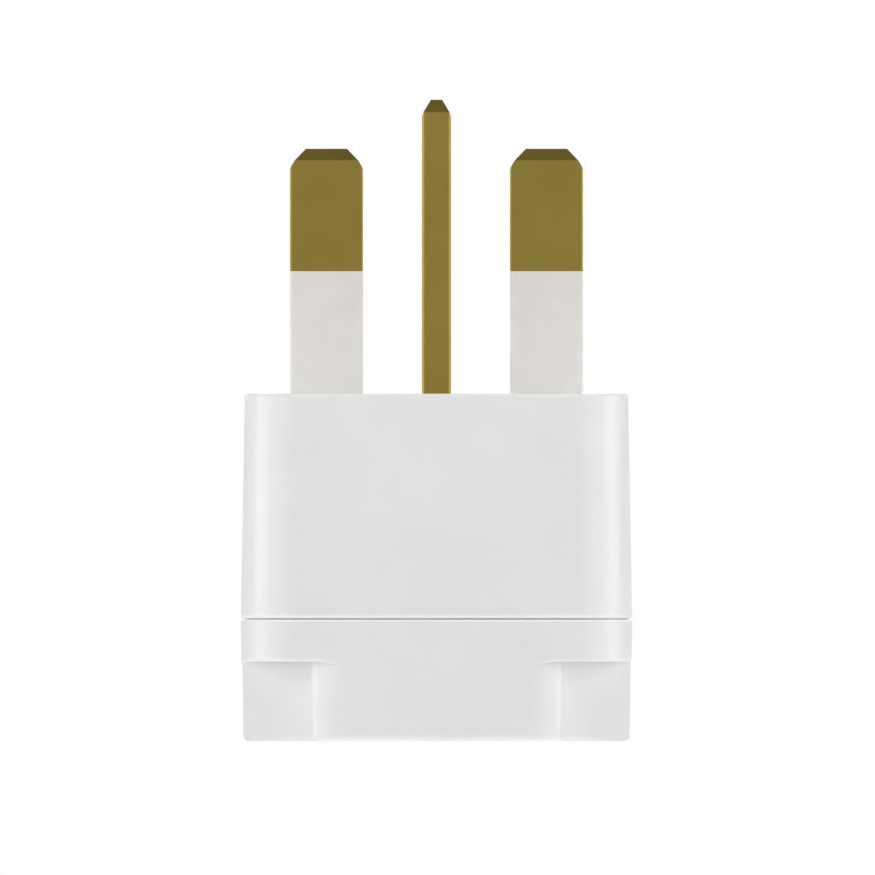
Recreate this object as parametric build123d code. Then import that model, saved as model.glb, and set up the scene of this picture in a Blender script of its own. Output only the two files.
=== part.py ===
from build123d import *
import os
from math import cos, radians, sin, sqrt

# Grounding plug adapter: three pins on top, a grounded socket face underneath.
# The origin is the centre of the socket face, +Z runs towards the pin tips,
# and the line pin stands at +X. All sizes are in millimetres and degrees.

# Housing, measured at the parting line
BODY_WIDTH = 39.5
BODY_DEPTH = 45.0
CORNER_RADIUS = 5.8
SOCKET_HOUSING_HEIGHT = 12.35
PLUG_HOUSING_HEIGHT = 22.7
WALL = 2.0
SOCKET_FACE = 2.5
PLUG_FACE = 3.0
PLUG_DRAFT = 1.0
SOCKET_DRAFT = 0.8
TOP_EDGE_RADIUS = 0.3
BOTTOM_EDGE_RADIUS = 0.55

# Shadow groove and locating tongue at the parting line
GROOVE_HEIGHT = 0.12
GROOVE_DEPTH = 0.45
UPPER_RIM_RADIUS = 0.35
LOWER_RIM_RADIUS = 0.1
TONGUE_INSET = 1.1
TONGUE_HEIGHT = 1.6
TONGUE_CLEARANCE = 0.1

# Finger grips in the four lower corners
GRIP_HEIGHT = 8.0
GRIP_MARGIN = 10.4
GRIP_BLEND_RADIUS = 4.6
GRIP_BLEND_TURN = 45.0
GRIP_FACET_TURN = 63.0
GRIP_FACET_LENGTH = 8.2
GRIP_SIDE_INSET = 0.1
LEDGE_RADIUS = 0.35
LEDGE_RUNOUT_RADIUS = 6.5

# Plug pins, placed by the centre distances of the wall socket
LINE_TO_NEUTRAL = 22.2
EARTH_TO_LINE = 22.2
BLADE_WIDTH = 7.37
BLADE_THICKNESS = 4.0
BLADE_LENGTH = 24.7
BLADE_EDGE_RADIUS = 0.2
BLADE_TIP_WIDTH = 4.17
BLADE_TIP_THICKNESS = 1.9
BLADE_BEVEL_WIDTH = 6.38
BLADE_BEVEL = 1.15
BLADE_SHOULDER = 1.95
SLEEVE_LENGTH = 12.35
SLEEVE_WALL = 0.6
EARTH_WIDTH = 2.94
EARTH_DEPTH = 8.0
EARTH_LENGTH = 29.65
EARTH_EDGE_RADIUS = 0.3
EARTH_TIP_WIDTH = 1.14
EARTH_TIP_DEPTH = 5.6
EARTH_BEVEL_WIDTH = 2.64
EARTH_BEVEL = 1.25
EARTH_SHOULDER = 1.7
TIP_SHOULDER_RADIUS = 0.8
PIN_CLEARANCE = 0.05

# Collars that hold the pins against the inside of the plug face
COLLAR_MARGIN = 1.0
COLLAR_HEIGHT = 3.4
COLLAR_RADIUS = 0.8
SEAT_CLEARANCE = 0.1
SEAT_WALL = 1.0
SEAT_HEIGHT = 2.6

# Socket face: two flat blade slots and a round earth hole
SLOT_SPACING = 12.7
SLOT_TO_EARTH = 11.9
SLOT_WIDTH = 2.1
LINE_SLOT_LENGTH = 7.3
NEUTRAL_SLOT_LENGTH = 8.7
EARTH_HOLE_RADIUS = 2.55
EARTH_HOLE_LENGTH = 4.0
LEAD_IN = 0.3
LEAD_IN_ANGLE = 45.0

# Folded spring contacts
STRIP = 0.7
STRIP_BEND = 1.0
PINCH_BEND = 2.5
PINCH_HEIGHT = 3.6
MOUTH_FLARE = 0.4
MOUTH_GAP = 0.6
RISER_REACH = 1.4
BLADE_LEAF_WIDTH = 6.2
BLADE_THROAT = 2.6
BLADE_PINCH = 1.2
BLADE_ARM_RISE = 7.45
BLADE_ARM_WIDTH = 3.6
EARTH_LEAF_WIDTH = 5.0
EARTH_THROAT = 5.2
EARTH_PINCH = 4.4
EARTH_ARM_RISE = 3.35
EARTH_ARM_WIDTH = 3.4
POCKET_CLEARANCE = 0.4
POCKET_WALL = 1.0
POCKET_TOP = 14.0

# Small screws between the contacts and the pins, and the posts that back them
PIN_SCREW_RADIUS = 1.0
PIN_SCREW_GRIP = 2.4
PIN_SCREW_HEAD_RADIUS = 2.1
PIN_SCREW_HEAD_HEIGHT = 1.5
THREAD_CLEARANCE = 0.05
EYE_CLEARANCE = 0.25
EYE_MARGIN = 1.2
POST_WALL = 1.0
POST_CLEARANCE = 0.3
POST_GAP = 0.1

# Housing screws, with their heads sunk in the plug face
SCREW_SIDE_MARGIN = 5.75
SCREW_BACK_MARGIN = 6.4
SCREW_RADIUS = 1.25
SCREW_LENGTH = 14.0
SCREW_TIP = 1.6
SCREW_POINT = 0.3
SCREW_HEAD_RADIUS = 2.8
SCREW_HEAD_HEIGHT = 2.1
SCREW_HEAD_CLEARANCE = 0.3
SCREW_HOLE_CLEARANCE = 0.35
SCREW_SEAT = 2.0
BOSS_JOINT = 20.0
BOSS_WALL = 1.1
BOSS_GAP = 0.1
PILOT_WALL = 2.2
PILOT_RESERVE = 1.0
BORE_CHAMFER = 0.3

# Screw heads: a bevelled edge and a cross recess
HEAD_BEVEL = 0.6
CROSS_LENGTH = 1.3
CROSS_WIDTH = 0.28
CROSS_DEPTH = 0.6

# Tolerance for picking out edges by their place
TOLERANCE = 0.001

# Levels and centres worked out from the sizes above
PARTING_Z = SOCKET_HOUSING_HEIGHT
PLUG_FACE_Z = PARTING_Z + PLUG_HOUSING_HEIGHT
SEAT_Z = PLUG_FACE_Z - PLUG_FACE
COLLAR_Z = SEAT_Z - COLLAR_HEIGHT
ARM_Z = COLLAR_Z - STRIP
BLADE_SADDLE = ARM_Z - BLADE_ARM_RISE
EARTH_SADDLE = ARM_Z - EARTH_ARM_RISE
SLEEVE_Z = PLUG_FACE_Z + SLEEVE_LENGTH
SCREW_SEAT_Z = BOSS_JOINT + SCREW_SEAT
GRIP_FLAT = BODY_WIDTH - 2 * GRIP_MARGIN
CREASE_X = GRIP_FLAT / 2 + GRIP_BLEND_RADIUS * sin(radians(GRIP_BLEND_TURN))
CREASE_Y = BODY_DEPTH / 2 - GRIP_BLEND_RADIUS * (1 - cos(radians(GRIP_BLEND_TURN)))
LINE_X = LINE_TO_NEUTRAL / 2
PIN_SPAN = EARTH_TO_LINE + (BLADE_THICKNESS + EARTH_DEPTH) / 2
EARTH_Y = (EARTH_DEPTH - PIN_SPAN) / 2
LINE_Y = EARTH_Y + EARTH_TO_LINE
SLOT_X = SLOT_SPACING / 2
SLOT_Y = (NEUTRAL_SLOT_LENGTH / 2 - SLOT_TO_EARTH - EARTH_HOLE_RADIUS) / 2
EARTH_HOLE_Y = SLOT_Y + SLOT_TO_EARTH
SCREW_X = BODY_WIDTH / 2 - SCREW_SIDE_MARGIN
SCREW_Y = BODY_DEPTH / 2 - SCREW_BACK_MARGIN

PIN_CENTRES = {"line": (LINE_X, LINE_Y), "neutral": (-LINE_X, LINE_Y), "earth": (0, EARTH_Y)}
SLOT_CENTRES = {"line": (SLOT_X, SLOT_Y), "neutral": (-SLOT_X, SLOT_Y), "earth": (0, EARTH_HOLE_Y)}
SCREW_CENTRES = [(-SCREW_X, EARTH_Y), (SCREW_X, EARTH_Y), (0, SCREW_Y)]
BLADE_SIZE = (BLADE_WIDTH, BLADE_THICKNESS)
EARTH_SIZE = (EARTH_WIDTH, EARTH_DEPTH)
PIN_SIZES = {"line": BLADE_SIZE, "neutral": BLADE_SIZE, "earth": EARTH_SIZE}
LEAF_WIDTHS = {"line": BLADE_LEAF_WIDTH, "neutral": BLADE_LEAF_WIDTH, "earth": EARTH_LEAF_WIDTH}
THROATS = {"line": BLADE_THROAT, "neutral": BLADE_THROAT, "earth": EARTH_THROAT}
FLOORS = {"line": SOCKET_FACE, "neutral": SOCKET_FACE, "earth": EARTH_HOLE_LENGTH}


def block(sketch, bottom, top, taper=0.0):
    """Flat sketch extruded upwards from one level to another."""
    return extrude(Pos(0, 0, bottom) * sketch, top - bottom, taper=taper)


def hanging_block(sketch, top, bottom, taper=0.0):
    """Sketch that is symmetrical about X, extruded downwards from its top level."""
    plane = Plane(origin=(0, 0, top), x_dir=(1, 0, 0), z_dir=(0, 0, -1))
    return extrude(plane * sketch, top - bottom, taper=taper)


def grown_rectangle(size, margin, radius):
    """Rounded rectangle around a section, with the same margin on every side."""
    return RectangleRounded(size[0] + 2 * margin, size[1] + 2 * margin, radius)


def at_level(shape, z):
    """Edges of a shape that lie flat at one level."""
    return [edge for edge in shape.edges() if all(abs(v.Z - z) < TOLERANCE for v in edge.vertices())]


# Outlines of the housing

def housing_outline(inset=0.0):
    """Rounded rectangle of the body at the parting line, drawn in by inset."""
    return RectangleRounded(BODY_WIDTH - 2 * inset, BODY_DEPTH - 2 * inset, CORNER_RADIUS - inset)


def grip_outline():
    """Section below the ledges: flat front, blend, crease, facet, bowed side, and the same behind."""
    facet = radians(GRIP_FACET_TURN)
    front = -BODY_DEPTH / 2
    facet_x = CREASE_X + GRIP_FACET_LENGTH * cos(facet)
    facet_y = CREASE_Y - GRIP_FACET_LENGTH * sin(facet)
    bow_x = BODY_WIDTH / 2 - GRIP_SIDE_INSET
    with BuildSketch() as outline:
        with BuildLine():
            Line((0, front), (GRIP_FLAT / 2, front))
            JernArc((GRIP_FLAT / 2, front), (1, 0), GRIP_BLEND_RADIUS, GRIP_BLEND_TURN)
            Line((CREASE_X, -CREASE_Y), (facet_x, -facet_y))
            ThreePointArc((facet_x, -facet_y), (bow_x, 0), (facet_x, facet_y))
            Line((facet_x, facet_y), (CREASE_X, CREASE_Y))
            JernArc((GRIP_FLAT / 2, -front), (1, 0), GRIP_BLEND_RADIUS, -GRIP_BLEND_TURN)
            Line((GRIP_FLAT / 2, -front), (0, -front))
            mirror(about=Plane.YZ)
        make_face()
    return outline.sketch


def band_profile(top):
    """Front silhouette of the band over the grips: level ledges that run out down to the flats."""
    radius = LEDGE_RUNOUT_RADIUS
    arc_points = []
    for share in (0, 0.5, 1):
        reach = share * (CREASE_X - GRIP_FLAT / 2)
        arc_points.append((CREASE_X - reach, GRIP_HEIGHT - radius + sqrt(radius**2 - reach**2)))
    with BuildSketch() as profile:
        with BuildLine():
            Polyline((0, top), (BODY_WIDTH, top), (BODY_WIDTH, GRIP_HEIGHT), arc_points[0])
            ThreePointArc(*arc_points)
            Line(arc_points[2], (0, arc_points[2][1]))
            mirror(about=Plane.YZ)
        make_face()
    return profile.sketch


# Pins and their insulating sleeves

def tip_profile(width, tip_width, bevel_width, bevel, shoulder, bottom, top):
    """Silhouette of a pin: straight sides, a soft shoulder and a bevelled tip."""
    with BuildSketch() as profile:
        with BuildLine():
            Polyline(
                (0, bottom),
                (width / 2, bottom),
                (width / 2, top - shoulder),
                (bevel_width / 2, top - bevel),
                (tip_width / 2, top),
                (0, top),
            )
            mirror(about=Plane.YZ)
        make_face()
        shoulders = [v for v in profile.vertices() if abs(v.Y - top + shoulder) < TOLERANCE]
        fillet(shoulders, TIP_SHOULDER_RADIUS)
    return profile.sketch


def side_profile(depth, tip_depth, bevel, bottom, top):
    """Silhouette of a pin from its narrow side, with a plain bevel at the tip."""
    with BuildSketch() as profile:
        with Locations((0, (bottom + top) / 2)):
            Rectangle(depth, top - bottom)
        corners = profile.vertices().group_by(Axis.Y)[-1]
        chamfer(corners, bevel, (depth - tip_depth) / 2)
    return profile.sketch


def collared_pin(blank, front, side, size):
    """Blank cut to its two silhouettes, with the collar and the tapped hole below."""
    reach = max(size)
    shaped = blank & extrude(Plane.XZ * front, reach, both=True)
    shaped &= extrude(Plane.YZ * side, reach, both=True)
    collar = block(grown_rectangle(size, COLLAR_MARGIN, COLLAR_RADIUS), COLLAR_Z, SEAT_Z)
    hole_top = COLLAR_Z + PIN_SCREW_GRIP + THREAD_CLEARANCE
    tapped_hole = block(Circle(PIN_SCREW_RADIUS + THREAD_CLEARANCE), COLLAR_Z, hole_top)
    return shaped + collar - tapped_hole


def blade_pin():
    """Flat pin with a full-size tip and a thinner core under the sleeve."""
    top = PLUG_FACE_Z + BLADE_LENGTH
    blank = block(RectangleRounded(*BLADE_SIZE, BLADE_EDGE_RADIUS), SLEEVE_Z, top)
    blank += block(grown_rectangle(BLADE_SIZE, -SLEEVE_WALL, BLADE_EDGE_RADIUS), SEAT_Z, SLEEVE_Z)
    front = tip_profile(
        BLADE_WIDTH, BLADE_TIP_WIDTH, BLADE_BEVEL_WIDTH, BLADE_BEVEL, BLADE_SHOULDER, SEAT_Z, top
    )
    side = side_profile(BLADE_THICKNESS, BLADE_TIP_THICKNESS, BLADE_BEVEL, SEAT_Z, top)
    return collared_pin(blank, front, side, BLADE_SIZE)


def earth_pin():
    """Longer pin, bare from the plug face to the tip."""
    top = PLUG_FACE_Z + EARTH_LENGTH
    blank = block(RectangleRounded(*EARTH_SIZE, EARTH_EDGE_RADIUS), SEAT_Z, top)
    front = tip_profile(
        EARTH_WIDTH, EARTH_TIP_WIDTH, EARTH_BEVEL_WIDTH, EARTH_BEVEL, EARTH_SHOULDER, SEAT_Z, top
    )
    side = side_profile(EARTH_DEPTH, EARTH_TIP_DEPTH, EARTH_BEVEL, SEAT_Z, top)
    return collared_pin(blank, front, side, EARTH_SIZE)


def pin_sleeve():
    """Insulating sleeve moulded flush around the core of a blade pin."""
    outer = RectangleRounded(*BLADE_SIZE, BLADE_EDGE_RADIUS)
    return block(outer - grown_rectangle(BLADE_SIZE, -SLEEVE_WALL, BLADE_EDGE_RADIUS), SEAT_Z, SLEEVE_Z)


# Folded spring contacts

def leaf_clip(throat, pinch, leaf_width, mouth_z, saddle_z):
    """Inverted U of strip whose two leaves pinch a blade or a round pin between them."""
    throat_x = (throat + STRIP) / 2
    pinch_x = (pinch + STRIP) / 2
    mouth_x = throat_x + MOUTH_FLARE
    pinch_z = mouth_z + PINCH_HEIGHT
    centreline = FilletPolyline(
        (-mouth_x, mouth_z),
        (-pinch_x, pinch_z),
        (-throat_x, saddle_z),
        (throat_x, saddle_z),
        (pinch_x, pinch_z),
        (mouth_x, mouth_z),
        radius=[PINCH_BEND, STRIP_BEND, STRIP_BEND, PINCH_BEND],
    )
    return extrude(Plane.XZ * trace(centreline, STRIP), leaf_width / 2, both=True)


def contact_arm(slot, pin, leaf_width, arm_width, saddle_z):
    """Strip that rises from the saddle, bends level and ends in an eye under the pin's collar."""
    side = 1 if pin[1] > slot[1] else -1
    riser_y = side * (leaf_width / 2 + RISER_REACH)
    arm_z = ARM_Z + STRIP / 2
    hull_y = riser_y + side * (STRIP_BEND + STRIP)
    centreline = FilletPolyline(
        (0, saddle_z),
        (riser_y, saddle_z),
        (riser_y, arm_z),
        (hull_y + side * STRIP, arm_z),
        radius=STRIP_BEND,
    )
    riser = extrude(Plane.YZ * trace(centreline, STRIP), arm_width / 2, both=True)
    eye_radius = PIN_SCREW_HEAD_RADIUS + EYE_MARGIN
    with BuildSketch() as plan:
        with BuildLine():
            CenterArc((pin[0] - slot[0], pin[1] - slot[1]), eye_radius, 0, 360)
            Line((-arm_width / 2, hull_y), (arm_width / 2, hull_y))
        make_hull()
    return riser + block(plan.sketch, ARM_Z, COLLAR_Z)


def contact(name):
    """One contact in a single folded piece: clip, riser, arm and the eye for its screw."""
    slot = SLOT_CENTRES[name]
    mouth_z = FLOORS[name] + MOUTH_GAP
    if name == "earth":
        clip = leaf_clip(EARTH_THROAT, EARTH_PINCH, EARTH_LEAF_WIDTH, mouth_z, EARTH_SADDLE)
        arm = contact_arm(slot, PIN_CENTRES[name], EARTH_LEAF_WIDTH, EARTH_ARM_WIDTH, EARTH_SADDLE)
    else:
        clip = leaf_clip(BLADE_THROAT, BLADE_PINCH, BLADE_LEAF_WIDTH, mouth_z, BLADE_SADDLE)
        arm = contact_arm(slot, PIN_CENTRES[name], BLADE_LEAF_WIDTH, BLADE_ARM_WIDTH, BLADE_SADDLE)
    folded = Pos(*slot, 0) * (clip + arm)
    eye_hole = block(Circle(PIN_SCREW_RADIUS + EYE_CLEARANCE), ARM_Z, COLLAR_Z)
    return folded - Pos(*PIN_CENTRES[name], 0) * eye_hole


# Screws, drawn upright with the underside of the head at the origin

def screw_head(radius, height):
    """Bevelled head with a cross recess in its top."""
    head = block(Circle(radius), 0, height)
    head = chamfer(head.edges().group_by(Axis.Z)[-1], HEAD_BEVEL)
    bar = Rectangle(2 * CROSS_LENGTH, 2 * CROSS_WIDTH)
    cross = bar + Rot(0, 0, 90) * bar
    return head - block(cross, height - CROSS_DEPTH, height)


def housing_screw():
    """Self-tapping screw with a pointed tip."""
    shank = hanging_block(Circle(SCREW_RADIUS), 0, -SCREW_LENGTH)
    tip_edge = shank.edges().group_by(Axis.Z)[0]
    shank = chamfer(tip_edge, SCREW_TIP, SCREW_RADIUS - SCREW_POINT)
    return shank + screw_head(SCREW_HEAD_RADIUS, SCREW_HEAD_HEIGHT)


def pin_screw():
    """Machine screw that clamps a contact's eye to its pin from below."""
    shank = hanging_block(Circle(PIN_SCREW_RADIUS), 0, -PIN_SCREW_GRIP - STRIP)
    return Rot(180, 0, 0) * (shank + screw_head(PIN_SCREW_HEAD_RADIUS, PIN_SCREW_HEAD_HEIGHT))


# Lower housing

def ledge_band(groove_z):
    """Full-width band over the grips, rounded at the groove and along its lower rim."""
    band = hanging_block(housing_outline(), groove_z, 0, SOCKET_DRAFT)
    band &= extrude(Plane.XZ * band_profile(groove_z), BODY_DEPTH, both=True)
    band = fillet(at_level(band, groove_z), LOWER_RIM_RADIUS)
    rim = []
    for edge in band.edges():
        place = edge.center()
        is_low = place.Z < GRIP_HEIGHT + TOLERANCE
        runs_across = abs(place.Y) < TOLERANCE and abs(place.X) < CREASE_X + TOLERANCE
        if is_low and not runs_across:
            rim.append(edge)
    return fillet(rim, LEDGE_RADIUS)


def socket_shell():
    """Drafted outer form with its grip ledges, hollowed to an even wall, and the locating tongue."""
    groove_z = PARTING_Z - GROOVE_HEIGHT
    band = ledge_band(groove_z)
    grip = hanging_block(grip_outline(), groove_z - LOWER_RIM_RADIUS, 0, SOCKET_DRAFT)
    grip = fillet(at_level(grip, 0), BOTTOM_EDGE_RADIUS)
    rim = block(housing_outline(GROOVE_DEPTH), groove_z, PARTING_Z)
    tongue = block(housing_outline(TONGUE_INSET), PARTING_Z, PARTING_Z + TONGUE_HEIGHT)
    tongue_top = PARTING_Z + TONGUE_HEIGHT
    wide_hollow = hanging_block(housing_outline(WALL), tongue_top, GRIP_HEIGHT + WALL)
    grip_hollow = hanging_block(offset(grip_outline(), -WALL), PARTING_Z, SOCKET_FACE, SOCKET_DRAFT)
    outer = band + grip + rim
    return outer, outer + tongue - wide_hollow - grip_hollow


def contact_pocket(name):
    """Guide walls around one clip, on a raised pad where the hole below needs the length."""
    width = THROATS[name] + 2 * (STRIP + MOUTH_FLARE + POCKET_CLEARANCE)
    size = (width, LEAF_WIDTHS[name] + 2 * POCKET_CLEARANCE)
    outer = grown_rectangle(size, POCKET_WALL, POCKET_WALL)
    walls = block(outer, SOCKET_FACE, POCKET_TOP)
    return Pos(*SLOT_CENTRES[name], 0) * (walls - block(Rectangle(*size), FLOORS[name], POCKET_TOP))


def clamping_post(name):
    """Tube that stands under a contact's eye, around the head of its screw."""
    inner_radius = PIN_SCREW_HEAD_RADIUS + POST_CLEARANCE
    wall = Circle(inner_radius + POST_WALL) - Circle(inner_radius)
    return Pos(*PIN_CENTRES[name], 0) * block(wall, SOCKET_FACE, ARM_Z - POST_GAP)


def socket_openings():
    """Two flat slots and the round earth hole, each with a bevelled mouth."""
    sketches = {
        "line": Rectangle(SLOT_WIDTH, LINE_SLOT_LENGTH),
        "neutral": Rectangle(SLOT_WIDTH, NEUTRAL_SLOT_LENGTH),
        "earth": Circle(EARTH_HOLE_RADIUS),
    }
    openings = []
    for name, sketch in sketches.items():
        mouth = block(offset(sketch, LEAD_IN, kind=Kind.INTERSECTION), 0, LEAD_IN, LEAD_IN_ANGLE)
        openings.append(Pos(*SLOT_CENTRES[name], 0) * (block(sketch, 0, FLOORS[name]) + mouth))
    return openings


def socket_housing():
    """Lower housing with its pockets, clamping posts, screw pillars and openings."""
    outer, shell = socket_shell()
    upper = housing_outline(WALL + TONGUE_CLEARANCE)
    envelope = outer + block(upper, PARTING_Z, ARM_Z, PLUG_DRAFT)
    pillar = block(Circle(SCREW_RADIUS + PILOT_WALL), SOCKET_FACE, BOSS_JOINT - BOSS_GAP)
    pilot_bottom = SCREW_SEAT_Z - SCREW_LENGTH - PILOT_RESERVE
    pilot = block(Circle(SCREW_RADIUS + THREAD_CLEARANCE), pilot_bottom, BOSS_JOINT)
    inner_pieces = [contact_pocket(name) for name in SLOT_CENTRES]
    inner_pieces += [clamping_post(name) for name in PIN_CENTRES]
    inner_pieces += [Pos(x, y, 0) * pillar for x, y in SCREW_CENTRES]
    for piece in inner_pieces:
        shell += piece & envelope
    for x, y in SCREW_CENTRES:
        shell -= Pos(x, y, 0) * pilot
    for opening in socket_openings():
        shell -= opening
    return shell


# Upper housing

def plug_shell():
    """Drafted outer form and the same form hollowed, with the rebate that takes the tongue."""
    outer = block(housing_outline(), PARTING_Z, PLUG_FACE_Z, PLUG_DRAFT)
    outer = fillet(at_level(outer, PLUG_FACE_Z), TOP_EDGE_RADIUS)
    outer = fillet(at_level(outer, PARTING_Z), UPPER_RIM_RADIUS)
    hollow = block(housing_outline(WALL), PARTING_Z, SEAT_Z, PLUG_DRAFT)
    rebate_top = PARTING_Z + TONGUE_HEIGHT + TONGUE_CLEARANCE
    rebate = block(housing_outline(TONGUE_INSET - TONGUE_CLEARANCE), PARTING_Z, rebate_top)
    return outer, outer - hollow - rebate


def collar_seat(size):
    """Frame that keeps a pin's collar from turning."""
    inner = grown_rectangle(size, COLLAR_MARGIN + SEAT_CLEARANCE, COLLAR_RADIUS + SEAT_CLEARANCE)
    margin = COLLAR_MARGIN + SEAT_CLEARANCE + SEAT_WALL
    outer = grown_rectangle(size, margin, COLLAR_RADIUS + SEAT_CLEARANCE + SEAT_WALL)
    return block(outer - inner, SEAT_Z - SEAT_HEIGHT, SEAT_Z)


def pin_aperture(size, edge_radius):
    """Close opening in the plug face for one pin."""
    opening = grown_rectangle(size, PIN_CLEARANCE, edge_radius + PIN_CLEARANCE)
    return block(opening, SEAT_Z, PLUG_FACE_Z)


def plug_housing():
    """Upper housing with the collar seats, the deep screw bosses and the pin apertures."""
    outer, shell = plug_shell()
    bore_radius = SCREW_HEAD_RADIUS + SCREW_HEAD_CLEARANCE
    boss = block(Circle(bore_radius + BOSS_WALL), BOSS_JOINT, PLUG_FACE_Z)
    bore = block(Circle(bore_radius), SCREW_SEAT_Z, PLUG_FACE_Z)
    bore += block(Circle(SCREW_RADIUS + SCREW_HOLE_CLEARANCE), BOSS_JOINT, SCREW_SEAT_Z)
    for x, y in SCREW_CENTRES:
        shell += (Pos(x, y, 0) * boss) & outer
    for name, centre in PIN_CENTRES.items():
        shell += Pos(*centre, 0) * collar_seat(PIN_SIZES[name])
    for x, y in SCREW_CENTRES:
        shell -= Pos(x, y, 0) * bore
    for name, centre in PIN_CENTRES.items():
        radius = EARTH_EDGE_RADIUS if name == "earth" else BLADE_EDGE_RADIUS
        shell -= Pos(*centre, 0) * pin_aperture(PIN_SIZES[name], radius)
    rims = [edge for edge in at_level(shell, PLUG_FACE_Z) if edge.geom_type == GeomType.CIRCLE]
    rims = [edge for edge in rims if abs(edge.radius - bore_radius) < TOLERANCE]
    return chamfer(rims, BORE_CHAMFER)


def all_parts():
    """Every piece in its place, by name."""
    parts = {"plug_housing": plug_housing(), "socket_housing": socket_housing()}
    for name, centre in PIN_CENTRES.items():
        place = Pos(*centre, 0)
        parts[f"{name}_pin"] = place * (earth_pin() if name == "earth" else blade_pin())
        if name != "earth":
            parts[f"{name}_pin_sleeve"] = place * pin_sleeve()
        parts[f"{name}_contact"] = contact(name)
        parts[f"{name}_contact_screw"] = place * Pos(0, 0, ARM_Z) * pin_screw()
    for number, (x, y) in enumerate(SCREW_CENTRES, start=1):
        parts[f"housing_screw_{number}"] = Pos(x, y, SCREW_SEAT_Z) * housing_screw()
    return parts


os.makedirs("parts", exist_ok=True)
for part_name, shape in all_parts().items():
    export_step(shape, f"parts/{part_name}.step")
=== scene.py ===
"""Finishes and a small studio for the grounding plug adapter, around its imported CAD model."""
import math

import bpy
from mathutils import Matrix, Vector


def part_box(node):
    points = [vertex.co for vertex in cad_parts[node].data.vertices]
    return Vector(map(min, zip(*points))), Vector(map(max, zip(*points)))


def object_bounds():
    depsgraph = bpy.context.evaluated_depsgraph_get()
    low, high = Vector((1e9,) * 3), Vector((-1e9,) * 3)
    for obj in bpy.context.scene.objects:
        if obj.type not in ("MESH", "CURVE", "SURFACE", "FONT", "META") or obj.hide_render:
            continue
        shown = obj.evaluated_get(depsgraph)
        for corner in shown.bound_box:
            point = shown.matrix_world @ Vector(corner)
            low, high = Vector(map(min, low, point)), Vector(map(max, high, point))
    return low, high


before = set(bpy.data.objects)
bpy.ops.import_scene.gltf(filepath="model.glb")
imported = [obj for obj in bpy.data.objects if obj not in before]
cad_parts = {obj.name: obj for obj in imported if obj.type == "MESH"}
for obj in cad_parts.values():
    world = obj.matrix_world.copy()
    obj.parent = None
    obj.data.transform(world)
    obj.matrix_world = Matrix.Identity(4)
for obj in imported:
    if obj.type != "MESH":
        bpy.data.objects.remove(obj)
CAD_BOX = [list(corner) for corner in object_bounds()]

bl_info = {
    "name": "Grounding plug adapter",
    "version": (1, 0, 0),
    "blender": (4, 5, 0),
    "location": "3D View > Sidebar > Adapter",
    "description": "Dresses the adapter's housings, pins, sleeves, contacts and screws, and lights them",
    "category": "Object",
}

MILLIMETRE = 0.001

# Level of the joint between the housings, and how far the painted highlight along it reaches on both sides, in
# millimetres
JOINT_LEVEL = 12.41
JOINT_HIGHLIGHT_CORE = 0.1
JOINT_HIGHLIGHT_REACH = 0.32

# The paper lies this many millimetres below the adapter's face, so that the two never share a plane
FLOOR_CLEARANCE = 0.02

# Heights on a unit sphere between which the room's white wall turns into its ceiling
WALL_TOP = 0.25
CEILING_EDGE = 0.85

# Lamp distances from the middle of the adapter in metres, angles above its level in degrees, sizes in metres
LAMP_DISTANCE = 0.8
TABLE_LAMP_DISTANCE = 0.4
SIDE_LAMP_RISE = 8
HIGH_LAMP_RISE = 45
BACK_LAMP_RISE = 50
TABLE_LAMP_RISE = -89
SIDE_LAMP_SIZE = (0.5, 0.6)
HIGH_LAMP_SIZE = (0.6, 0.4)
BACK_LAMP_SIZE = (0.5, 0.5)
TABLE_LAMP_SIZE = (1.0, 1.0)

# Where the camera stands and what it sees, and how far the floor reaches from the middle, in metres
CAMERA_DISTANCE = 0.4
CLIP_START = 0.01
CLIP_END = 10.0
FLOOR_REACH = 1.5

# What each noise node is set to, and the middle range of its values, where nearly all of them lie
NOISE_SETTINGS = {"Scale": 1.0, "Detail": 3.0, "Roughness": 0.55}
NOISE_RANGE = {"From Min": 0.25, "From Max": 0.75}

# Shares of the sleeves' shade that come from painted shade towards the brass, standing in for light bounced up
# from the housing onto their foot, and from clouds in the nylon
TOP_SHADE_SHARE = 0.8
CLOUD_SHARE = 0.2

# Brightness of the paper's darker fibres beside the rest, and the depth of its grain in millimetres
FIBRE_SHADE = 0.97
FIBRE_DEPTH = 0.01

# Inputs and output of the Mix node for colours, which share their names with those for other kinds
MIX_SHARE, MIX_COLOUR, MIX_SHADE = 0, 6, 7
MIX_RESULT = 2

HOUSINGS = ("plug_housing", "socket_housing")
PINS = ("line_pin", "neutral_pin", "earth_pin")
SLEEVES = ("line_pin_sleeve", "neutral_pin_sleeve")
CONTACTS = ("line_contact", "neutral_contact", "earth_contact")
SCREWS = (
    "housing_screw_1",
    "housing_screw_2",
    "housing_screw_3",
    "line_contact_screw",
    "neutral_contact_screw",
    "earth_contact_screw",
)


# Helpers

def linear(hex_colour):
    """Linear red, green and blue of an sRGB colour such as "#e6e6e4"."""
    channels = [int(hex_colour[i:i + 2], 16) / 255 for i in (1, 3, 5)]
    return tuple(c / 12.92 if c <= 0.04045 else ((c + 0.055) / 1.055) ** 2.4 for c in channels)


def opaque(colour):
    """A colour with full alpha, as a shader's socket takes it."""
    return (*colour, 1.0)


def repeats(size_mm):
    """Noise scale, in repeats per metre, for a pattern whose features are this many millimetres."""
    return 1 / (size_mm * MILLIMETRE)


def add_node(tree, kind, inputs=None, **settings):
    """One new node with its settings, and each input set to a value or linked from a socket."""
    node = tree.nodes.new(kind)
    for name, value in settings.items():
        setattr(node, name, value)
    for name, value in (inputs or {}).items():
        if isinstance(value, bpy.types.NodeSocket):
            tree.links.new(value, node.inputs[name])
        else:
            node.inputs[name].default_value = value
    return node


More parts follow.
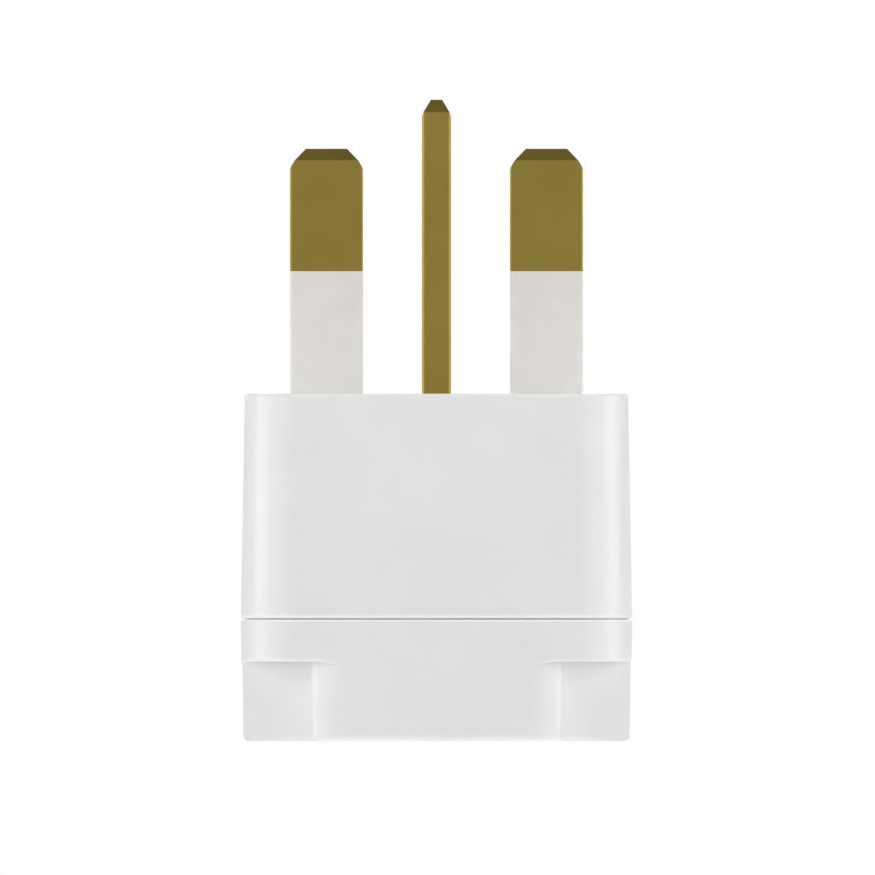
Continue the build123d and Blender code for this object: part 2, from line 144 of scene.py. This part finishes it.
def new_material(name):
    """Empty node material, and its tree."""
    material = bpy.data.materials.new(name)
    material.use_nodes = True
    material.node_tree.nodes.clear()
    return material, material.node_tree


def surface_noise(tree, size_mm, stretch=(1, 1, 1)):
    """Noise in the adapter's own millimetres, drawn out along an axis whose stretch is above 1."""
    place = add_node(tree, "ShaderNodeTexCoord").outputs["Object"]
    scale = tuple(repeats(size_mm) / factor for factor in stretch)
    mapped = add_node(tree, "ShaderNodeMapping", {"Vector": place, "Scale": scale})
    noise = {"Vector": mapped.outputs["Vector"], **NOISE_SETTINGS}
    return add_node(tree, "ShaderNodeTexNoise", noise).outputs["Fac"]


def height_above_face(tree):
    """Height of the surface above the socket face, in metres."""
    place = add_node(tree, "ShaderNodeTexCoord").outputs["Object"]
    return add_node(tree, "ShaderNodeSeparateXYZ", {"Vector": place}).outputs["Z"]


def tinted(tree, noise, colour, shade):
    """Colour that drifts between two close tints."""
    drift = {"Value": noise, **NOISE_RANGE, "To Min": 0.0, "To Max": 1.0}
    share = add_node(tree, "ShaderNodeMapRange", drift, interpolation_type="SMOOTHSTEP").outputs["Result"]
    tints = {MIX_SHARE: share, MIX_COLOUR: opaque(colour), MIX_SHADE: opaque(shade)}
    return add_node(tree, "ShaderNodeMix", tints, data_type="RGBA").outputs[MIX_RESULT]


def finished(tree, colour, finish, dulling, swing, relief, depth_mm, **constants):
    """The shader and the output, with the constants set on the shader's own sockets.

    The roughness wavers by the swing with the dulling noise, and the relief noise has a real depth.
    """
    waver = {
        "Value": dulling, **NOISE_RANGE,
        "To Min": finish.roughness - swing, "To Max": finish.roughness + swing,
    }
    roughness = add_node(tree, "ShaderNodeMapRange", waver, interpolation_type="SMOOTHSTEP")
    raised = {"Height": relief, "Distance": depth_mm * MILLIMETRE, "Strength": 1.0}
    bump = add_node(tree, "ShaderNodeBump", raised)
    inputs = {"Base Color": colour, "Roughness": roughness.outputs["Result"], "Normal": bump.outputs["Normal"]}
    inputs.update({name.replace("_", " "): value for name, value in constants.items()})
    shader = add_node(tree, "ShaderNodeBsdfPrincipled", inputs)
    add_node(tree, "ShaderNodeOutputMaterial", {"Surface": shader.outputs["BSDF"]})


# Materials

def joint_highlight_mask(tree):
    """Share of the painted highlight: 1 along the joint of the housings, and 0 away from it."""
    level = {0: height_above_face(tree), 1: JOINT_LEVEL * MILLIMETRE}
    offset = add_node(tree, "ShaderNodeMath", level, operation="SUBTRACT").outputs[0]
    fade = {
        "Value": add_node(tree, "ShaderNodeMath", {0: offset}, operation="ABSOLUTE").outputs[0],
        "From Min": JOINT_HIGHLIGHT_CORE * MILLIMETRE, "From Max": JOINT_HIGHLIGHT_REACH * MILLIMETRE,
        "To Min": 1.0, "To Max": 0.0,
    }
    return add_node(tree, "ShaderNodeMapRange", fade).outputs["Result"]


def gloss_moulded_abs(finish):
    """ABS from a polished mould: an even pale shell with soft wavering highlights and a painted highlight along
    the joint.

    The painted highlight brightens the groove and edges at the joint, which would otherwise lie in shade. It
    stands in for light that passes through the thin edges of the housings there.
    """
    material, tree = new_material("gloss_moulded_abs")
    shell = tinted(tree, surface_noise(tree, size_mm=11.0), finish.colour, finish.shade)
    # Painted highlight: the pale joint colour is mixed in near the joint's level
    highlighted = {MIX_SHARE: joint_highlight_mask(tree), MIX_COLOUR: shell, MIX_SHADE: opaque(finish.joint)}
    finished(
        tree, add_node(tree, "ShaderNodeMix", highlighted, data_type="RGBA").outputs[MIX_RESULT], finish,
        dulling=surface_noise(tree, size_mm=5.0), swing=0.03,
        relief=surface_noise(tree, size_mm=1.6), depth_mm=0.002, IOR=1.54,
        Subsurface_Weight=1.0, Subsurface_Radius=(1.0, 1.0, 1.0), Subsurface_Scale=finish.scatter,
    )
    return material


def drawn_brass(finish):
    """Solid brass bar, drawn to section and lightly polished: satin, with faint lines along its length."""
    material, tree = new_material("drawn_polished_brass")
    # Real drawing lines are finer: these are as coarse as they need to be to show
    lines = surface_noise(tree, size_mm=0.25, stretch=(1, 1, 40))
    colour = tinted(tree, surface_noise(tree, size_mm=4.0), finish.colour, finish.shade)
    finished(tree, colour, finish, dulling=lines, swing=0.03, relief=lines, depth_mm=0.0006, Metallic=1.0)
    return material


def satin_moulded_nylon(finish):
    """Nylon moulded round the pins: warmer and duller than the housing, with painted shade that darkens it towards
    the brass, standing in for the light the housing's face bounces onto its foot.
    """
    material, tree = new_material("satin_moulded_nylon")
    foot, top = (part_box(SLEEVES[0])[corner][2] for corner in (0, 1))
    # Painted shade: the nylon darkens from its foot towards its top, standing in for light bounced up from the
    # housing onto the foot
    painted_top_shade = {
        "Value": height_above_face(tree), "From Min": foot, "From Max": top,
        "To Min": 0.0, "To Max": TOP_SHADE_SHARE,
    }
    painted_shade = add_node(tree, "ShaderNodeMapRange", painted_top_shade).outputs["Result"]
    drift = {"Value": surface_noise(tree, size_mm=2.4), **NOISE_RANGE, "To Min": 0.0, "To Max": CLOUD_SHARE}
    clouds = add_node(tree, "ShaderNodeMapRange", drift, interpolation_type="SMOOTHSTEP").outputs["Result"]
    share = add_node(tree, "ShaderNodeMath", {0: painted_shade, 1: clouds}, operation="ADD").outputs[0]
    tints = {MIX_SHARE: share, MIX_COLOUR: opaque(finish.colour), MIX_SHADE: opaque(finish.shade)}
    colour = add_node(tree, "ShaderNodeMix", tints, data_type="RGBA").outputs[MIX_RESULT]
    # Real mould grain is finer: this is as coarse as it needs to be to show
    grain = surface_noise(tree, size_mm=0.4)
    finished(tree, colour, finish, dulling=grain, swing=0.05, relief=grain, depth_mm=0.002, IOR=1.53)
    return material


def rolled_spring_brass(finish):
    """Cold-rolled brass strip, pressed and folded: bright, with fine rolling lines."""
    material, tree = new_material("rolled_spring_brass")
    # Real rolling lines are finer: these are as coarse as they need to be to show
    lines = surface_noise(tree, size_mm=0.18, stretch=(1, 30, 30))
    colour = tinted(tree, surface_noise(tree, size_mm=3.0), finish.colour, finish.shade)
    finished(tree, colour, finish, dulling=lines, swing=0.05, relief=lines, depth_mm=0.002, Metallic=1.0)
    return material


def zinc_plated_steel(finish):
    """Cold-headed steel with a bright zinc coat: grey and softly mottled."""
    material, tree = new_material("zinc_plated_steel")
    mottle = surface_noise(tree, size_mm=0.7)
    colour = tinted(tree, mottle, finish.colour, finish.shade)
    finished(tree, colour, finish, dulling=mottle, swing=0.06, relief=mottle, depth_mm=0.003, Metallic=1.0)
    return material


def matt_studio_paper(colour, lift):
    """Uncoated paper sweep: dull, with a soft shadow, and lifted towards white for the camera alone."""
    material, tree = new_material("matt_studio_paper")
    fibres = surface_noise(tree, size_mm=1.5)
    shade = tuple(FIBRE_SHADE * channel for channel in colour)
    raised = {"Height": fibres, "Distance": FIBRE_DEPTH * MILLIMETRE, "Strength": 1.0}
    seen = add_node(tree, "ShaderNodeLightPath").outputs["Is Camera Ray"]
    paper = {
        "Base Color": tinted(tree, fibres, colour, shade),
        "Roughness": 0.9,
        "IOR": 1.45,
        "Normal": add_node(tree, "ShaderNodeBump", raised).outputs["Normal"],
        "Emission Strength": add_node(tree, "ShaderNodeMath", {0: seen, 1: lift}, operation="MULTIPLY").outputs[0],
    }
    shader = add_node(tree, "ShaderNodeBsdfPrincipled", paper)
    add_node(tree, "ShaderNodeOutputMaterial", {"Surface": shader.outputs["BSDF"]})
    return material


def dress(names, material):
    """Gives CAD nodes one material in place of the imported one."""
    for name in names:
        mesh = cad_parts[name].data
        mesh.materials.clear()
        mesh.materials.append(material)


# Sizes and colours that a user would change

def colour_property(name, description, hex_colour):
    return bpy.props.FloatVectorProperty(
        name=name, description=description, default=linear(hex_colour),
        subtype="COLOR", size=3, min=0.0, max=1.0,
    )


def roughness_property(default):
    return bpy.props.FloatProperty(
        name="Roughness", description="How dull the surface is", default=default,
        subtype="FACTOR", min=0.05, max=1.0,
    )


def lamp_property(name, description, default):
    return bpy.props.FloatProperty(
        name=name, description=description, default=default, unit="POWER", min=0.0,
    )


def angle_property(name, description, degrees):
    return bpy.props.FloatProperty(
        name=name, description=description, default=math.radians(degrees),
        subtype="ANGLE", min=0.0, max=math.pi,
    )


class HousingFinish(bpy.types.PropertyGroup):
    """Finish of the two moulded housings."""
    colour: colour_property("Colour", "Colour of the moulded plastic", "#e9e9e9")
    shade: colour_property("Shade", "Slightly darker tint where the plastic flowed last", "#e6e6e6")
    # Painted highlight along the joint, standing in for light through the thin edges of the housings
    joint: colour_property("Joint", "Colour of the thin edges along the joint", "#fdfdfd")
    roughness: roughness_property(0.33)
    scatter: bpy.props.FloatProperty(
        name="Scatter", description="How far light spreads inside the plastic",
        default=0.0004, subtype="DISTANCE", unit="LENGTH", min=0.0,
    )


class PinFinish(bpy.types.PropertyGroup):
    """Finish of the three plug pins."""
    colour: colour_property("Colour", "Colour of the brass", "#91803d")
    shade: colour_property("Shade", "Colour of the brass where it has dulled", "#8d7b39")
    roughness: roughness_property(0.32)


class SleeveFinish(bpy.types.PropertyGroup):
    """Finish of the sleeves at the foot of the line and neutral pins."""
    # The colour shows at the sleeves' foot and the shade towards their top: a painted gradient of bounced light,
    # mixed with clouds in the nylon
    colour: colour_property("Colour", "Colour of the nylon", "#f9f8f6")
    shade: colour_property("Shade", "Colour of the nylon where use has dulled it", "#e6e3e0")
    roughness: roughness_property(0.5)


class ContactFinish(bpy.types.PropertyGroup):
    """Finish of the folded contacts inside."""
    colour: colour_property("Colour", "Colour of the strip", "#c3a860")
    shade: colour_property("Shade", "Colour of the strip where it has dulled", "#b29650")
    roughness: roughness_property(0.34)


class ScrewFinish(bpy.types.PropertyGroup):
    """Finish of the screws."""
    colour: colour_property("Colour", "Colour of the zinc coat", "#bcbfc2")
    shade: colour_property("Shade", "Colour of the duller zinc", "#a6a9ad")
    roughness: roughness_property(0.34)


class Studio(bpy.types.PropertyGroup):
    """Floor, lamps and camera."""
    floor_colour: colour_property("Floor", "Colour of the paper floor", "#dcdcdc")
    floor_lift: bpy.props.FloatProperty(
        name="Floor lift", description="White added to the paper where the camera sees it",
        default=0.4, subtype="FACTOR", min=0.0, max=1.0,
    )
    key_lamps: lamp_property("Key lamps", "Power of each softbox at half left and half right", 0.95)
    edge_lamps: lamp_property("Edge lamps", "Power of each softbox at the sides", 2.65)
    high_lamp: lamp_property("High lamp", "Power of the softbox above the camera", 2.2)
    back_lamp: lamp_property("Back lamp", "Power of the softbox above and behind the adapter", 2.5)
    table_lamp: lamp_property("Table lamp", "Power of the light that comes up through the paper", 2.1)
    key_angle: angle_property("Key angle", "Angle between the camera and each key lamp", 42)
    edge_angle: angle_property("Edge angle", "Angle between the camera and each edge lamp", 82)
    surround: bpy.props.FloatProperty(
        name="Surround", description="Strength of the light from the room",
        default=0.16, subtype="FACTOR", min=0.0, max=1.0,
    )
    ceiling: bpy.props.FloatProperty(
        name="Ceiling", description="Brightness of the ceiling beside the white walls",
        default=0.32, subtype="FACTOR", min=0.0, max=1.0,
    )
    view_width: bpy.props.FloatProperty(
        name="View width", description="Width and height of what the camera sees",
        default=0.08828, subtype="DISTANCE", unit="LENGTH", min=0.01,
    )
    view_centre: bpy.props.FloatVectorProperty(
        name="View centre", description="Point in the middle of the picture",
        default=(0.0001, 0.0, 0.03062), subtype="TRANSLATION", unit="LENGTH", size=3,
    )


class AdapterSettings(bpy.types.PropertyGroup):
    """Everything the sidebar shows."""
    housing: bpy.props.PointerProperty(type=HousingFinish, name="Housing", description="Housing finish")
    pins: bpy.props.PointerProperty(type=PinFinish, name="Pins", description="Pin finish")
    sleeves: bpy.props.PointerProperty(type=SleeveFinish, name="Sleeves", description="Sleeve finish")
    contacts: bpy.props.PointerProperty(type=ContactFinish, name="Contacts", description="Contact finish")
    screws: bpy.props.PointerProperty(type=ScrewFinish, name="Screws", description="Screw finish")
    studio: bpy.props.PointerProperty(type=Studio, name="Studio", description="Floor, lamps and camera")


# Operators

class FinishHousings(bpy.types.Operator):
    """Gives both housings their moulded plastic"""
    bl_idname = "adapter.finish_housings"
    bl_label = "Housings"

    def execute(self, context):
        dress(HOUSINGS, gloss_moulded_abs(context.scene.adapter.housing))
        return {"FINISHED"}


class FinishPins(bpy.types.Operator):
    """Gives the three plug pins their brass"""
    bl_idname = "adapter.finish_pins"
    bl_label = "Pins"

    def execute(self, context):
        dress(PINS, drawn_brass(context.scene.adapter.pins))
        return {"FINISHED"}


class FinishSleeves(bpy.types.Operator):
    """Gives the pin sleeves their nylon"""
    bl_idname = "adapter.finish_sleeves"
    bl_label = "Sleeves"

    def execute(self, context):
        dress(SLEEVES, satin_moulded_nylon(context.scene.adapter.sleeves))
        return {"FINISHED"}


class FinishContacts(bpy.types.Operator):
    """Gives the folded contacts their spring brass"""
    bl_idname = "adapter.finish_contacts"
    bl_label = "Contacts"

    def execute(self, context):
        dress(CONTACTS, rolled_spring_brass(context.scene.adapter.contacts))
        return {"FINISHED"}


class FinishScrews(bpy.types.Operator):
    """Gives every screw its zinc coat"""
    bl_idname = "adapter.finish_screws"
    bl_label = "Screws"

    def execute(self, context):
        dress(SCREWS, zinc_plated_steel(context.scene.adapter.screws))
        return {"FINISHED"}


def add_floor(colour, lift):
    """Large sheet of paper under the adapter, which lets the lamp below it through."""
    mesh = bpy.data.meshes.new("paper_floor")
    corners = [(x * FLOOR_REACH, y * FLOOR_REACH, 0) for x, y in ((-1, -1), (1, -1), (1, 1), (-1, 1))]
    mesh.from_pydata(corners, [], [(0, 1, 2, 3)])
    floor = bpy.data.objects.new("paper_floor", mesh)
    bpy.context.scene.collection.objects.link(floor)
    mesh.materials.append(matt_studio_paper(colour, lift))
    floor.location.z = -FLOOR_CLEARANCE * MILLIMETRE
    floor.visible_shadow = False


def add_lamp(name, power, azimuth, rise, size, distance=LAMP_DISTANCE):
    """Oblong softbox aimed at the middle of the adapter.

    Its azimuth is in radians from the camera, and its rise in degrees above the adapter's middle.
    """
    elevation = math.radians(rise)
    lamp = bpy.data.lights.new(name, "AREA")
    lamp.shape = "RECTANGLE"
    lamp.size, lamp.size_y = size
    lamp.energy = power
    # A lamp below the paper is only reached by shadow rays, which the paper lets through
    lamp.cycles.use_multiple_importance_sampling = rise > 0
    holder = bpy.data.objects.new(name, lamp)
    bpy.context.scene.collection.objects.link(holder)
    back = Vector((
        math.sin(azimuth) * math.cos(elevation),
        -math.cos(azimuth) * math.cos(elevation),
        math.sin(elevation),
    ))
    middle = (Vector(CAD_BOX[0]) + Vector(CAD_BOX[1])) / 2
    holder.location = middle + back * distance
    holder.rotation_mode = "QUATERNION"
    holder.rotation_quaternion = back.to_track_quat("Z", "Y")


def light_room(strength, ceiling):
    """World that shows white walls and a grey ceiling to the camera and in reflections, and lights evenly."""
    world = bpy.data.worlds.new("studio_room")
    bpy.context.scene.world = world
    world.use_nodes = True
    tree = world.node_tree
    tree.nodes.clear()
    direction = add_node(tree, "ShaderNodeTexCoord").outputs["Generated"]
    height = add_node(tree, "ShaderNodeSeparateXYZ", {"Vector": direction}).outputs["Z"]
    wall = {"Value": height, "From Min": WALL_TOP, "From Max": CEILING_EDGE, "To Min": 1.0, "To Max": ceiling}
    shown = add_node(tree, "ShaderNodeMapRange", wall, interpolation_type="SMOOTHSTEP").outputs["Result"]
    path = add_node(tree, "ShaderNodeLightPath").outputs
    seen = path["Is Camera Ray"]
    for ray in ("Is Glossy Ray", "Is Transmission Ray"):
        seen = add_node(tree, "ShaderNodeMath", {0: seen, 1: path[ray]}, operation="MAXIMUM").outputs[0]
    level = {"Value": seen, "To Min": strength, "To Max": shown}
    level = add_node(tree, "ShaderNodeMapRange", level).outputs["Result"]
    background = add_node(tree, "ShaderNodeBackground", {"Strength": level, "Color": opaque((1, 1, 1))})
    add_node(tree, "ShaderNodeOutputWorld", {"Surface": background.outputs["Background"]})


def add_camera(width, centre):
    """Straight-on camera without perspective, level with the middle of the picture."""
    camera = bpy.data.cameras.new("front_view")
    camera.type = "ORTHO"
    camera.ortho_scale = width
    camera.clip_start = CLIP_START
    camera.clip_end = CLIP_END
    holder = bpy.data.objects.new("front_view", camera)
    bpy.context.scene.collection.objects.link(holder)
    holder.location = Vector(centre) + Vector((0, -CAMERA_DISTANCE, 0))
    holder.rotation_euler = (math.pi / 2, 0, 0)
    bpy.context.scene.camera = holder


class BuildStudio(bpy.types.Operator):
    """Sets up the floor, the lamps, the room and the camera"""
    bl_idname = "adapter.build_studio"
    bl_label = "Studio"

    def execute(self, context):
        studio = context.scene.adapter.studio
        add_floor(studio.floor_colour, studio.floor_lift)
        for name, side in (("left", -1), ("right", 1)):
            key, edge = side * studio.key_angle, side * studio.edge_angle
            add_lamp(f"{name}_key", studio.key_lamps, key, SIDE_LAMP_RISE, SIDE_LAMP_SIZE)
            add_lamp(f"{name}_edge", studio.edge_lamps, edge, SIDE_LAMP_RISE, SIDE_LAMP_SIZE)
        add_lamp("high", studio.high_lamp, 0.0, HIGH_LAMP_RISE, HIGH_LAMP_SIZE)
        add_lamp("back", studio.back_lamp, math.pi, BACK_LAMP_RISE, BACK_LAMP_SIZE)
        add_lamp("table", studio.table_lamp, 0.0, TABLE_LAMP_RISE, TABLE_LAMP_SIZE, TABLE_LAMP_DISTANCE)
        light_room(studio.surround, studio.ceiling)
        add_camera(studio.view_width, studio.view_centre)
        context.scene.view_settings.view_transform = "Standard"
        return {"FINISHED"}


class AdapterPanel(bpy.types.Panel):
    """Settings and steps of the adapter"""
    bl_idname = "VIEW3D_PT_adapter"
    bl_label = "Grounding plug adapter"
    bl_space_type = "VIEW_3D"
    bl_region_type = "UI"
    bl_category = "Adapter"

    def draw(self, context):
        for operator, group in STEPS:
            box = self.layout.box()
            settings = getattr(context.scene.adapter, group)
            for name in settings.__annotations__:
                box.prop(settings, name)
            box.operator(operator.bl_idname)


STEPS = (
    (FinishHousings, "housing"),
    (FinishPins, "pins"),
    (FinishSleeves, "sleeves"),
    (FinishContacts, "contacts"),
    (FinishScrews, "screws"),
    (BuildStudio, "studio"),
)
GROUPS = (HousingFinish, PinFinish, SleeveFinish, ContactFinish, ScrewFinish, Studio, AdapterSettings)
CLASSES = (*GROUPS, *(operator for operator, _ in STEPS), AdapterPanel)


def register():
    for cls in CLASSES:
        bpy.utils.register_class(cls)
    bpy.types.Scene.adapter = bpy.props.PointerProperty(
        type=AdapterSettings, name="Adapter", description="Settings of the grounding plug adapter",
    )


def unregister():
    del bpy.types.Scene.adapter
    for cls in reversed(CLASSES):
        bpy.utils.unregister_class(cls)


def main():
    """Registers the add-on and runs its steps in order."""
    register()
    bpy.ops.adapter.finish_housings()
    bpy.ops.adapter.finish_pins()
    bpy.ops.adapter.finish_sleeves()
    bpy.ops.adapter.finish_contacts()
    bpy.ops.adapter.finish_screws()
    bpy.ops.adapter.build_studio()


if __name__ == "__main__":
    main()
